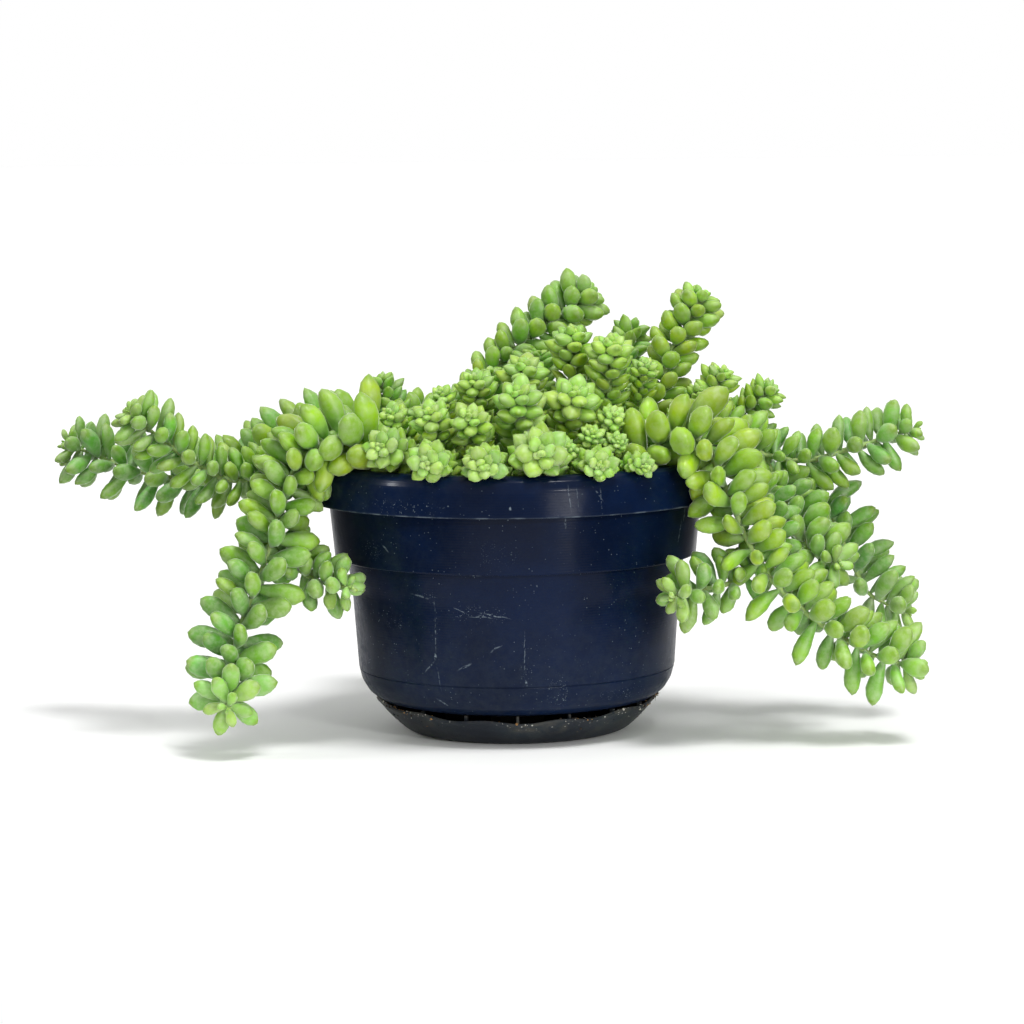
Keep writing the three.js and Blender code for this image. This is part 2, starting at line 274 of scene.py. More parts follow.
def addSoftboxes(setup):
    for name, (place, size, power) in setup["softboxes"].items():
        data = bpy.data.lights.new(name, "AREA")
        data.shape = "RECTANGLE"
        data.size, data.size_y = size
        data.energy = power
        way = Vector(setup["faced"]) - Vector(place)
        turn = way.to_track_quat("-Z", "Y").to_matrix().to_4x4()
        linkObject(name, data).matrix_world = Matrix.Translation(place) @ turn


def addFloor(setup):
    (nearHalf, near), (farHalf, far) = setup["floor"]
    corners = [(-nearHalf, near, 0), (nearHalf, near, 0), (farHalf, far, 0), (-farHalf, far, 0)]
    paint, _, shader = newSkin("floorPaint")
    fill(shader, {"Base Color": setup["floorTint"], "Roughness": setup["floorRough"]})
    linkObject("floor", newMesh("floor", corners, [(0, 1, 2, 3)], paint))


addCamera(cameraSetup)
addSky(studio)
addKey(studio)
addSoftboxes(studio)
addFloor(studio)
bpy.context.scene.view_settings.view_transform = "Standard"
print("studio: camera, floor and lights are in place")


# closed shapes from rings of points
def closedFaces(rings, sides):
    # rings one after the other, with a pole before the first and after the last
    last = 1 + rings * sides
    faces = []
    for i in range(sides):
        j = (i + 1) % sides
        faces.append((0, 1 + j, 1 + i))
        for low in range(1, last - sides, sides):
            faces.append((low + i, low + j, low + sides + j, low + sides + i))
        faces.append((last - sides + i, last - sides + j, last))
    return faces


def softened(profile):
    # Corners get a small round, and a close pair of points on each side keeps the flats flat.
    points = [np.array(p[:2], float) for p in profile]
    out = [points[0]]
    for i in range(1, len(points) - 1):
        corner = points[i]
        rounding = profile[i][2] if len(profile[i]) > 2 else 0.5
        before, after = points[i - 1] - corner, points[i + 1] - corner
        reach = min(rounding, 0.3 * np.linalg.norm(before), 0.3 * np.linalg.norm(after))
        a, b = corner + unit(before) * reach, corner + unit(after) * reach
        out.append(corner + unit(before) * reach * 1.4)
        for t in (0, 0.25, 0.5, 0.75, 1):
            out.append(a * (1 - t) ** 2 + corner * 2 * t * (1 - t) + b * t * t)
        out.append(corner + unit(after) * reach * 1.4)
    out.append(points[-1])
    return out


def turnedMesh(name, profile, turns, skin):
    # a closed body from an anticlockwise (radius, height) profile that starts and ends on the axis
    around = np.arange(turns) * 2 * math.pi / turns
    vertices = [(0, 0, profile[0][1] * mm)]
    for radius, height in profile[1:-1]:
        vertices += [(radius * mm * math.cos(a), radius * mm * math.sin(a), height * mm) for a in around]
    vertices.append((0, 0, profile[-1][1] * mm))
    mesh = newMesh(name, vertices, closedFaces(len(profile) - 2, turns), skin)
    mesh.shade_smooth()
    return mesh
# pot
pot = {
    "height": 125, "rim": 95, "rimInner": 84, "lip": 107, "band": 85, "body": 77, "shoulder": 80,
    "turns": 168,
    "drain": {"count": 6, "radius": 4, "circle": 34, "sides": 24, "reach": (10, 24)},
    # (radius, height, rounding) in mm from the middle of the base, out and over the rim, and back inside
    "profile": [
        (0, 14.2), (58, 14.2, 1), (63.6, 15.7, 1.5), (67.9, 18.9, 1.5), (70.9, 23.8, 1.5), (72.2, 28.8, 0.3),
        (71.9, 29.2, 0.2), (72.4, 29.6, 0.3), (75, 66, 3), (77.3, 80.4, 0.4), (82.6, 80.6, 0.5), (85, 106, 1),
        (85.3, 120, 1), (87, 122.6, 1), (90.4, 122.4, 1), (92.4, 119, 1), (93.1, 107, 0.4), (95, 107, 0.5),
        (94.2, 119.4, 2), (92.6, 123.2, 1.2), (89.6, 125, 1), (84.9, 125, 0.8), (83.3, 123.4, 0.8),
        (83, 106, 1), (80.5, 85, 1), (75, 81.4, 1), (73, 66, 2), (70.3, 29.8, 1), (68.4, 24.8, 1),
        (65, 21.4, 1), (57, 18.5, 1), (0, 18.5)],
    "deep": linear(6, 24, 55),
    "inked": linear(4, 17, 42),
    "film": linear(50, 58, 64),
    "rubbed": linear(128, 142, 152),
    # scuffed places as degrees round from the front and mm up: middle, half width and height, strength
    "scuffs": [
        (-31, 111, 15, 5, 0.9), (-13, 62.5, 13, 5, 1.0), (-47, 56, 6, 5, 0.6), (-31, 69.5, 5, 4, 0.5),
        (-6, 90, 9, 9, 0.22), (-50, 89, 7, 6, 0.6), (15, 26, 5, 11, 0.9), (44, 23, 17, 3.4, 1.0),
        (3, 40, 3, 14, 0.4), (130, 60, 22, 12, 0.6), (-150, 95, 20, 8, 0.6), (190, 40, 26, 9, 0.6)],
    # scratches as degrees round from the front and mm up: start, end, half width, strength
    "scratches": [
        (-28.7, 68, -28.9, 62, 0.25, 0.35), (-28.9, 62, -29.3, 43, 0.22, 0.5),
        (-29.2, 45, -29.6, 40.5, 0.5, 0.8), (-29.6, 40.5, -34.8, 34.5, 0.3, 0.45),
        (-29.4, 40, -27.6, 26, 0.2, 0.25), (-15.4, 80.0, -10.5, 79.7, 0.2, 0.9),
        (-22.5, 65.5, -16.5, 62.7, 0.2, 0.6), (-17, 61.2, -7, 60.8, 0.16, 0.7),
        (-13, 63.3, -1.5, 60.4, 0.22, 0.7), (-38.5, 70.4, -29.6, 68.0, 0.35, 0.4),
        (2.9, 56, 2.4, 32.5, 0.2, 0.45), (2.7, 32.5, 3.4, 29.6, 0.35, 0.8),
        (-21.6, 36.5, -15, 40.9, 0.3, 0.5), (-9.6, 45.1, -4.7, 48.8, 0.25, 0.5),
        (-31, 23.5, -26, 19.4, 0.3, 0.6), (20.5, 121, 24.5, 112.5, 0.25, 0.35),
        (23, 120.6, 23.6, 110, 0.2, 0.4), (-45.5, 93, -42.2, 88.6, 0.35, 0.5),
        (-1.5, 113, -1.2, 110.5, 0.35, 0.9), (14.5, 122.5, 14.8, 108.5, 0.16, 0.34),
        (16.8, 121.5, 16.8, 110, 0.14, 0.22), (14.9, 106, 15.2, 100.5, 0.3, 0.7),
        (62, 100, 60.6, 88, 0.3, 0.6), (64, 106, 63, 96, 0.3, 0.5), (118, 70, 131, 52, 0.25, 0.5),
        (165, 61, 171, 40, 0.25, 0.5), (196, 74, 188, 71, 0.35, 0.6), (-120, 58, -108, 49, 0.25, 0.5),
        (-150, 70, -158, 44, 0.25, 0.45), (-84, 66, -70, 58, 0.3, 0.5)],
}


def spotOn(wall, middle, size, turn=0.0):
    # 1 at the middle of an oval on the wall, and 0 from its edge on
    placed = outOf(wall, "ShaderNodeMapping", {
        "Vector": wall, "Location": (*middle, 0), "Rotation": (0, 0, turn), "Scale": (*size, 1)},
        vector_type="TEXTURE")
    return outOf(wall, "ShaderNodeTexGradient", {"Vector": placed}, "Fac", gradient_type="SPHERICAL")


def strokeOn(wall, girth, a0, z0, a1, z1, half):
    # a straight mark on the wall that fades at both ends
    start, end = (Vector((math.radians(a) * girth, z * mm)) for a, z in ((a0, z0), (a1, z1)))
    line = end - start
    size = line.length * 0.62, half * 2.2 * mm
    return spotOn(wall, (start + end) / 2, size, math.atan2(line.y, line.x))


def makePotSkin(setup):
    skin, tree, shader = newSkin("potPlastic")
    place = objectPlace(tree)
    axes = axesOf(place)
    angle = mathOf("ARCTAN2", axes["X"], times(axes["Y"], -1.0))
    girth = setup["body"] * mm
    wall = outOf(tree, "ShaderNodeCombineXYZ", {0: times(angle, girth), 1: axes["Z"]})
    cloud = noiseOf(place, 22, 4, 0.6)
    grit = noiseOf(place, 260, 4, 0.65)
    body = mixTint(ease(cloud, 0.35, 0.7), setup["inked"], setup["deep"])
    # dust lies thicker low down and on the left
    low = ease(axes["Z"], 0.075, 0.015, 0.0, 0.18)
    left = ease(axes["X"], 0.0, -0.085, 0.0, 0.14)
    lain = times(plus(low, left, 0.04), ease(grit, 0.32, 0.75, 0.35, 1.3))
    dusty = mixTint(lain, body, setup["film"])
    # scratches waver and break up
    wobble = outOf(tree, "ShaderNodeTexNoise", {"Vector": wall, "Scale": 120.0, "Detail": 3.0}, "Color")
    wavering = vectorOf("ADD", wall, shiftOf(wobble, 0.0022))
    broken = ease(noiseOf(wall, 700, 2), 0.38, 0.58)
    marks = 0.0
    for *ends, half, strength in setup["scratches"]:
        mark = ease(strokeOn(wavering, girth, *ends, half), 0.1, 0.9, 0.0, strength)
        marks = most(mark, marks)
    marks = times(marks, broken)
    # grains of lime, in drifts, and a dense dust of them where the wall is scuffed
    dots = most(specksOf(wall, 760, 0.16, 0.24), specksOf(wall, 330, 0.05, 0.15))
    dots = times(dots, ease(noiseOf(wall, 35, 2), 0.42, 0.66, 0.07, 0.5))
    fine = most(specksOf(wavering, 1500, 0.4, 0.36), specksOf(wavering, 620, 0.3, 0.26))
    scuffed = 0.0
    for turn, height, wide, tall, strength in setup["scuffs"]:
        middle, size = (math.radians(turn) * girth, height * mm), (math.radians(wide) * girth, tall * mm)
        spot = spotOn(wavering, middle, size)
        scuffed = most(ease(spot, 0.0, 0.8, 0.0, strength), scuffed)
    scuffed = times(scuffed, ease(noiseOf(wall, 240, 3, 0.6), 0.38, 0.6))
    dots = most(dots, times(fine, scuffed))
    # the rim's lower edge is painted pale, partly as wear and partly as a painted highlight along the edge
    lip = times(ease(axes["Z"], (setup["lip"] + 0.9) * mm, (setup["lip"] + 0.2) * mm),
                ease(axes["Z"], (setup["lip"] - 0.6) * mm, (setup["lip"] - 0.1) * mm),
                ease(noiseOf(wall, 160, 3), 0.45, 0.7, 0.08, 0.46))
    # the lip's painted highlight joins the worn marks here
    worn = most(marks, dots, lip)
    # fine rings from the mould, under a soft waviness and the grit
    rings = outOf(tree, "ShaderNodeTexWave", {
        "Vector": place, "Scale": 260.0, "Distortion": 0.4, "Detail": 1.0}, "Fac", bands_direction="Z")
    lumpy = bumpOf(cloud, 0.12, 0.0025, bumpOf(rings, 0.1, 0.00012))
    normal = bumpOf(plus(grit, worn), 0.12, 0.0001, lumpy)
    fill(shader, {
        "Base Color": mixTint(worn, dusty, setup["rubbed"]),
        "Roughness": ease(plus(lain, times(worn, 0.5)), 0.0, 0.5, 0.3, 0.7),
        "Normal": normal, "Specular IOR Level": 0.02,
        "Coat Normal": normal, "Coat Weight": 0.19, "Coat Roughness": 0.17, "Coat IOR": 1.5})
    return skin


def cutDrainHoles(mesh, drain):
    # round holes through the base, by a boolean with a ring of pegs
    sides = drain["sides"]
    vertices, faces = [], []
    for i in range(drain["count"]):
        turn = 2 * math.pi * i / drain["count"]
        middle = drain["circle"] * math.cos(turn), drain["circle"] * math.sin(turn)
        first = len(vertices)
        for height in drain["reach"]:
            for k in range(sides):
                a = 2 * math.pi * k / sides
                vertices.append(((middle[0] + drain["radius"] * math.cos(a)) * mm,
                                 (middle[1] + drain["radius"] * math.sin(a)) * mm, height * mm))
        faces.append([first + k for k in reversed(range(sides))])
        faces.append([first + sides + k for k in range(sides)])
        for k in range(sides):
            n = (k + 1) % sides
            faces.append([first + k, first + n, first + sides + n, first + sides + k])
    body = linkObject("potBody", mesh)
    pegs = linkObject("pegs", newMesh("pegs", vertices, faces))
    cut = body.modifiers.new("drain", "BOOLEAN")
    cut.object = pegs
    cut.solver = "EXACT"
    cutMesh = plainMesh(body, "pot")
    bpy.data.objects.remove(body)
    bpy.data.objects.remove(pegs)
    return cutMesh


potTurned = turnedMesh("potTurned", softened(pot["profile"]), pot["turns"], makePotSkin(pot))
potPiece = linkObject("potBody", cutDrainHoles(potTurned, pot["drain"]))
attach(potPiece, "root")
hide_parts("pot")
print("pot:", len(potPiece.data.polygons), "faces")


# building blocks for geometry trees
def newTreeWith(name, sockets):
    tree = bpy.data.node_groups.new(name, "GeometryNodeTree")
    tree.interface.new_socket("Geometry", in_out="INPUT", socket_type="NodeSocketGeometry")
    for label, kind in sockets:
        tree.interface.new_socket(label, in_out="INPUT", socket_type="NodeSocket" + kind)
    tree.interface.new_socket("Geometry", in_out="OUTPUT", socket_type="NodeSocketGeometry")
    return tree, addNode(tree, "NodeGroupInput").outputs


def grow(piece, tree, given):
    # runs a tree on a piece once, and swaps the piece's mesh for what it made
    modifier = piece.modifiers.new("grow", "NODES")
    modifier.node_group = tree
    for item in tree.interface.items_tree:
        if item.in_out == "INPUT" and item.name in given:
            modifier[item.identifier] = given[item.name]
    mesh = plainMesh(piece, piece.name)
    piece.modifiers.clear()
    piece.data = mesh


def stored(tree, name, kind="FLOAT"):
    return outOf(tree, "GeometryNodeInputNamedAttribute", {"Name": name}, data_type=kind)


def chanceOf(tree, low, high, seed):
    return outOf(tree, "FunctionNodeRandomValue", {2: low, 3: high, "Seed": seed}, 1, data_type="FLOAT")


def copiesOn(points, source, **given):
    shape = outOf(points, "GeometryNodeObjectInfo", {"Object": source}, "Geometry")
    return outOf(points, "GeometryNodeInstanceOnPoints", {"Points": points, "Instance": shape, **given})


def realOf(copies):
    return outOf(copies, "GeometryNodeRealizeInstances", {"Geometry": copies})


def moved(geometry, offset):
    return outOf(geometry, "GeometryNodeSetPosition", {"Geometry": geometry, "Offset": offset})


def smoothed(geometry):
    return outOf(geometry, "GeometryNodeSetShadeSmooth", {"Geometry": geometry})


def clad(geometry, skin):
    return outOf(geometry, "GeometryNodeSetMaterial", {"Geometry": geometry, "Material": skin})


def joined(*parts):
    both = addNode(parts[0], "GeometryNodeJoinGeometry")
    for part in parts:
        both.id_data.links.new(part, both.inputs[0])
    return both.outputs[0]


# saucer
saucer = {
    "base": 48, "rim": 64.5, "waves": 12, "waveHeight": 0.7, "waveTurn": 26, "warp": 1.8, "turns": 192,
    "profile": [
        (0, 0), (48, 0, 0.8), (51.4, 1.2, 1), (55.8, 4.6, 2), (59.8, 8.2, 2), (62.6, 11.2, 1),
        (64.5, 13, 0.3), (64.1, 14, 0.4), (62.3, 13.4, 0.5), (60.4, 11.6, 1), (57.8, 8.9, 1.5),
        (54.2, 5.6, 1.5), (49, 2.8, 1), (47, 2, 0.6), (0, 2)],
    "innerWall": (48.4, 1.26, 58.5),  # radius at the floor, growth with height, and the most it reaches
    "blocks": {
        "pins": {"count": 16, "circle": 60, "size": (2.2, 1.3, 4.9), "bottom": 9.6, "lean": 0.04},
        "ribs": {"count": 8, "circle": 32, "size": (28, 2, 12.9), "bottom": 1, "lean": 0.0},
    },
    # crumbs lie on the edge above one height, and a few inside, from one radius out
    "crumbsAbove": 12, "crumbsFrom": 56, "crumbsInside": 0.05,
    "patches": (0.06, 0.35),  # how close together the patches of crumbs are, and how much more they cover
    "crumb": {"seed": 4, "Density": 560000.0, "Smallest": 0.3, "Largest": 1.6, "Seed": 5},
    "straw": {"seed": 6, "Density": 50000.0, "Smallest": 0.9, "Largest": 2.2, "Seed": 12},
    "strawShape": (0.14, 3.4),
    "plain": linear(31, 40, 47),
    "shade": linear(21, 27, 36),
    "grime": linear(92, 88, 78),
    # painted shade for the saucer's inside, under the pot
    "paintedInsideShade": linear(7, 7, 7),
    "lime": linear(196, 196, 186),
}


def makeSaucerSkin(setup):
    skin, tree, shader = newSkin("saucerPlastic")
    place = objectPlace(tree)
    axes = axesOf(place)
    height = axes["Z"]
    cloud = noiseOf(place, 30, 4, 0.6)
    grit = noiseOf(place, 320, 4, 0.7)
    body = mixTint(ease(cloud, 0.35, 0.65), setup["shade"], setup["plain"])
    splash = times(ease(noiseOf(place, 60, 5, 0.7, 0.6), 0.5, 0.75),
                   ease(height, 0.002, 0.014, 0.2, 0.75))
    edge = times(ease(height, 0.0112, 0.014), ease(grit, 0.4, 0.62, 0.0, 0.5))
    worn = most(splash, edge, specksOf(place, 300, 0.05, 0.2))
    # the inside is painted near black as shade, so the gap under the pot reads dark
    foot, slope, rim = setup["innerWall"]
    across = plus(mathOf("POWER", axes["X"], 2.0), mathOf("POWER", axes["Y"], 2.0))
    wall = mathOf("MINIMUM", plus(times(height, slope), foot * mm), rim * mm)
    inside = ease(mathOf("SUBTRACT", mathOf("SQRT", across), wall), 0.0004, -0.0004)
    inside = times(inside, ease(height, 0.0008, 0.0014))
    # lime flecks gather at the edge
    flecks = most(specksOf(place, 620, 0.3, 0.3), specksOf(place, 330, 0.14, 0.2))
    drift = times(ease(height, 0.0076, 0.011, 0.04, 0.9), ease(cloud, 0.4, 0.62, 0.15, 1.0))
    outside = mixTint(times(flecks, drift), mixTint(worn, body, setup["grime"]), setup["lime"])
    fill(shader, {
        "Base Color": mixTint(inside, outside, setup["paintedInsideShade"]),
        "Roughness": ease(plus(worn, inside), 0, 0.8, 0.5, 0.9),
        "Normal": bumpOf(plus(grit, cloud), 0.2, 0.0006), "Specular IOR Level": 0.25})
    return skin


def makeCrumbSkin():
    # dark soil, with some tan and some white crumbs among it
    skin, tree, shader = newSkin("crumbs")
    kind = trait(tree, "kind")
    grit = noiseOf(objectPlace(tree), 1800, 2)
    dark = mixTint(grit, linear(30, 24, 19), linear(62, 50, 38))
    tan = mixTint(ease(kind, 0.5, 0.56), dark, linear(150, 112, 66))
    fill(shader, {
        "Base Color": mixTint(ease(kind, 0.78, 0.82), tan, linear(205, 200, 188)),
        "Normal": bumpOf(grit, 0.5, 0.0003), "Roughness": 0.9})
    return skin


def makeBlock(name, size, skin):
    # a small plate with broken edges, its foot on the ground and slightly wider than its top
    dx, dy, height = (v * mm for v in size)
    inset = 0.12 * min(dx, dy)
    rings = [(0, 0), (height * 0.9, 0.03), (height, 0.16)]
    sides = 8
    vertices, faces = [], [list(reversed(range(sides)))]
    for z, drawn in rings:
        a, b = dx / 2 * (1 - drawn * dy / dx), dy / 2 * (1 - drawn)
        vertices += [(-a, -b + inset, z), (-a + inset, -b, z), (a - inset, -b, z), (a, -b + inset, z),
                     (a, b - inset, z), (a - inset, b, z), (-a + inset, b, z), (-a, b - inset, z)]
    top = sides * (len(rings) - 1)
    for low in range(0, top, sides):
        for i in range(sides):
            j = (i + 1) % sides
            faces.append([low + i, low + j, low + sides + j, low + sides + i])
    faces.append([top + i for i in range(sides)])
    return bpy.data.objects.new(name, newMesh(name, vertices, faces, skin))


def makeGrain(name, seed, stretch=(1, 1)):
    # a lumpy crumb about 1 across, or thinner and longer
    dice = random.Random(seed)
    rings, sides = 4, 6
    thin, long = stretch
    pole = 0.45 * long
    vertices = [(0, 0, -pole)]
    for k in range(rings):
        tilt = math.pi * (k + 1) / (rings + 1)
        for i in range(sides):
            r = 0.5 * dice.uniform(0.72, 1.1)
            a = 2 * math.pi * (i + 0.5 * (k % 2)) / sides
            across = r * thin * math.sin(tilt)
            vertices.append((across * math.cos(a), across * math.sin(a), -r * long * math.cos(tilt)))
    vertices.append((0, 0, pole))
    return bpy.data.objects.new(name, newMesh(name, vertices, closedFaces(rings, sides)))


def makeRingTree():
    # copies of an object round +Z, joined to the mesh they stand on
    tree, given = newTreeWith("ringOfCopies", [
        ("Copy", "Object"), ("Count", "Int"), ("Circle", "Float"), ("Height", "Float"), ("Lean", "Float"),
        ("Seed", "Int"), ("Skin", "Material")])
    circle = outOf(tree, "GeometryNodeMeshCircle", {"Vertices": given["Count"], "Radius": given["Circle"]})
    raised = moved(circle, outOf(tree, "ShaderNodeCombineXYZ", {2: given["Height"]}))
    axes = axesOf(outOf(tree, "GeometryNodeInputPosition"))
    turn = mathOf("ARCTAN2", axes["Y"], axes["X"])
    tilt = times(chanceOf(tree, -1.0, 1.0, given["Seed"]), given["Lean"])
    turned = outOf(tree, "ShaderNodeCombineXYZ", {0: tilt, 2: turn})
    real = realOf(copiesOn(raised, given["Copy"], Rotation=turned))
    whole = joined(clad(real, given["Skin"]), given["Geometry"])
    addNode(tree, "NodeGroupOutput", {"Geometry": whole})
    return tree


def makeStrewTree():
    # grains strewn over a mesh, thick where its "catch" attribute is high, and joined to it
    tree, given = newTreeWith("strewGrains", [
        ("Grain", "Object"), ("Density", "Float"), ("Smallest", "Float"), ("Largest", "Float"),
        ("Seed", "Int"), ("Skin", "Material")])
    points = outOf(tree, "GeometryNodeDistributePointsOnFaces", {
        "Mesh": given["Geometry"], "Density": times(stored(tree, "catch"), given["Density"]),
        "Seed": given["Seed"]})
    chance = chanceOf(tree, 0.0, 1.0, given["Seed"])
    size = outOf(tree, "ShaderNodeMapRange", {
        "Value": mathOf("POWER", chance, 2.2), "To Min": given["Smallest"], "To Max": given["Largest"]})
    tumble = outOf(tree, "FunctionNodeRandomValue", {
        0: (0, 0, 0), 1: (6.28, 6.28, 6.28), "Seed": given["Seed"]}, data_type="FLOAT_VECTOR")
    copies = copiesOn(points, given["Grain"], Rotation=tumble, Scale=size)
    marked = outOf(tree, "GeometryNodeStoreNamedAttribute", {
        "Geometry": copies, "Name": "kind", "Value": chanceOf(tree, 0.0, 1.0, 7)},
        data_type="FLOAT", domain="INSTANCE")
    grains = clad(smoothed(realOf(marked)), given["Skin"])
    addNode(tree, "NodeGroupOutput", {"Geometry": joined(grains, given["Geometry"])})
    return tree


def strew(piece, name, setup, stretch=(1, 1)):
    grow(piece, strewTree, {
        "Grain": makeGrain(name, setup["seed"], stretch), "Density": setup["Density"], "Seed": setup["Seed"],
        "Smallest": setup["Smallest"] * mm, "Largest": setup["Largest"] * mm, "Skin": crumbSkin})


def makeSaucerBody(setup, skin):
    # the dish, bent into waves that grow towards its rim
    mesh = turnedMesh("saucer", softened(setup["profile"]), setup["turns"], skin)
    close, cover = setup["patches"]
    catch = []
    for vertex in mesh.vertices:
        x, y, z = (v / mm for v in vertex.co)
        out, turn = math.hypot(x, y), math.atan2(y, x)
        share = max(0, (out - setup["base"]) / (setup["rim"] - setup["base"]))
        rise = -setup["waveHeight"] * math.cos(setup["waves"] * turn - math.radians(setup["waveTurn"]))
        vertex.co.z += (rise + setup["warp"] * math.cos(2 * turn)) * mm * share * share
        patchy = max(0, noise.noise(Vector((x, y, 0)) * close) + cover)
        few = setup["crumbsInside"] * patchy if out > setup["crumbsFrom"] else 0
        catch.append(patchy if z > setup["crumbsAbove"] else few)
    store(mesh, "catch", catch)
    return linkObject("saucerBody", mesh)


ringTree = makeRingTree()
strewTree = makeStrewTree()
crumbSkin = makeCrumbSkin()
saucerSkin = makeSaucerSkin(saucer)
saucerPiece = makeSaucerBody(saucer, saucerSkin)
for name, block in saucer["blocks"].items():
    grow(saucerPiece, ringTree, {
        "Copy": makeBlock(name, block["size"], saucerSkin), "Count": block["count"],
        "Circle": block["circle"] * mm, "Height": block["bottom"] * mm, "Lean": block["lean"],
        "Seed": 3, "Skin": saucerSkin})
strew(saucerPiece, "crumb", saucer["crumb"])
strew(saucerPiece, "straw", saucer["straw"], saucer["strawShape"])
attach(saucerPiece, "root")
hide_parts("saucer")
print("saucer:", len(saucerPiece.data.polygons), "faces")

# soil
soil = {
    "top": 112, "turns": 120, "edge": 82.7, "edgeDrop": 2.5,
    # the lumps' height, how close together the coarse and the fine ones are, and the fine ones' share
    "lumps": (1.1, 160, 420, 0.6),
    "calmEdge": 2,  # mm over which they fade out at the wall
    "topRings": 34, "edgeRings": 5, "levelFrom": 109.25,
    "profile": [(0, 18.8), (56.6, 18.8), (64.7, 21.8), (68.1, 25.1), (70, 30), (72.7, 66), (74.7, 81.6),
                (80.2, 85.3), (82.7, 106), (82.7, 109.2)],
    "clod": {"seed": 9, "Density": 60000.0, "Smallest": 0.7, "Largest": 4.0, "Seed": 8},
}


def makeSoilSkin():
    skin, tree, shader = newSkin("soil")
    place = objectPlace(tree)
    crumbs = noiseOf(place, 420, 6, 0.72)
    damp = ease(noiseOf(place, 40, 3), 0.4, 0.7, 0, 0.6)
    body = mixTint(ease(crumbs, 0.3, 0.72), linear(22, 17, 13), linear(74, 58, 42))
    fill(shader, {
        "Base Color": mixTint(damp, body, linear(34, 26, 19)),
        "Normal": bumpOf(crumbs, 0.9, 0.0015), "Roughness": 0.95})
    return skin


def makeSoilBody(setup, skin):
    # the fill of the pot, with a lumpy top that drops a little at the edge
    edge, top = setup["edge"], setup["top"]
    height, coarse, fine, share = setup["lumps"]
    rings = [(edge - edge * (k / setup["topRings"]) ** 0.9,
              top - setup["edgeDrop"] * max(0, 1 - k / setup["edgeRings"])) for k in range(setup["topRings"])]
    mesh = turnedMesh("soil", setup["profile"] + rings + [(0, top)], setup["turns"], skin)
    catch = []
    for vertex in mesh.vertices:
        onTop = vertex.co.z > setup["levelFrom"] * mm
        if onTop:
            lump = noise.noise(vertex.co * coarse) + share * noise.noise(vertex.co * fine)
            fade = min(1, (edge * mm - math.hypot(*vertex.co.xy)) / (setup["calmEdge"] * mm))
            vertex.co.z += height * mm * lump * fade
        catch.append(1.0 if onTop else 0.0)
    store(mesh, "catch", catch)
    return linkObject("soilFill", mesh)


soilPiece = makeSoilBody(soil, makeSoilSkin())
strew(soilPiece, "clod", soil["clod"])
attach(soilPiece, "root")
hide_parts("soil")
print("soil:", len(soilPiece.data.polygons), "faces")


# leaf and stem skins
leafTints = {
    "young": linear(162, 204, 92),
    "warm": linear(162, 198, 40),
    "cool": linear(104, 171, 64),
    "tip": linear(126, 166, 24),
    "bloom": linear(196, 205, 178),
}


def makeLeafSkin(tints):
    skin, tree, shader = newSkin("leafSkin")
    place = objectPlace(tree)
    age, warm, tint, along, edge = (trait(tree, name) for name in ("age", "warm", "tint", "along", "edge"))
    ripe = times(warm, ease(along, 0.1, 0.85, 0.5, 1.2))
    body = mixTint(age, tints["young"], mixTint(ripe, tints["cool"], tints["warm"]))
    # each leaf has its own shade
    other = mathOf("FRACT", times(tint, 7.31))
    patch = noiseOf(place, 150, 2)
    shade = outOf(tree, "ShaderNodeHueSaturation", {
        "Hue": ease(tint, 0, 1, 0.486, 0.512), "Saturation": ease(patch, 0.3, 0.7, 0.94, 1.1),
        "Value": ease(other, 0, 1, 0.84, 1.12), "Color": body})
    point = times(ease(along, 0.79, 0.96), ease(other, 0.1, 1.0, 0.5, 1.0))
    tipped = mixTint(point, shade, tints["tip"])
    # the waxy bloom is rubbed off in patches; the paler edges are partly thicker bloom and partly a painted
    # highlight where the edges catch the light
    rub = ease(noiseOf(place, 380, 3, 0.6), 0.35, 0.7, 0.04, 0.32)
    rim = times(ease(edge, 0.82, 1.0), 0.12)
    wax = plus(rub, rim, ease(along, 0.45, 0.0, 0.0, 0.2))
    wax = times(wax, ease(warm, 0, 1, 1.15, 0.6))
    grain = noiseOf(place, 1400, 2)
    fill(shader, {
        "Base Color": mixTint(wax, tipped, tints["bloom"]),
        "Roughness": ease(wax, 0.05, 0.4, 0.4, 0.56),
        "Normal": bumpOf(grain, 0.1, 0.0002, bumpOf(patch, 0.25, 0.0012)),
        "Subsurface Weight": 0.3, "Subsurface Scale": 0.0035, "Subsurface Radius": (0.6, 1.0, 0.2),
        "Sheen Weight": 0.8, "Sheen Roughness": 0.26, "Sheen Tint": linear(235, 240, 225),
        "Specular IOR Level": 0.52})
    return skin


def makeStemSkin():
    skin, tree, shader = newSkin("stemSkin")
    streak = noiseOf(objectPlace(tree), 500, 3)
    fill(shader, {
        "Base Color": mixTint(streak, linear(138, 172, 84), linear(186, 206, 136)),
        "Normal": bumpOf(streak, 0.4, 0.0004),
        "Roughness": 0.6, "Subsurface Weight": 0.15, "Subsurface Scale": 0.002})
    return skin


# one leaf
leafShapes = {
    # place along the leaf and half width, from where it joins the stem to just short of its point
    "long": [
        (0.0, 0.23), (0.12, 0.46), (0.30, 0.73), (0.48, 0.93), (0.66, 1.0), (0.82, 0.84), (0.935, 0.46)],
    "short": [
        (0.0, 0.32), (0.12, 0.54), (0.30, 0.82), (0.48, 0.98), (0.65, 0.95), (0.81, 0.66), (0.93, 0.29)],
}
leafSides = 10
leafFlat = 0.8  # the side that faces the growing tip is flatter
# the leaf's point takes this share of the edges' pale bloom and painted highlight
tipEdge = 0.8   # how much of an edge's bloom the leaf's point has


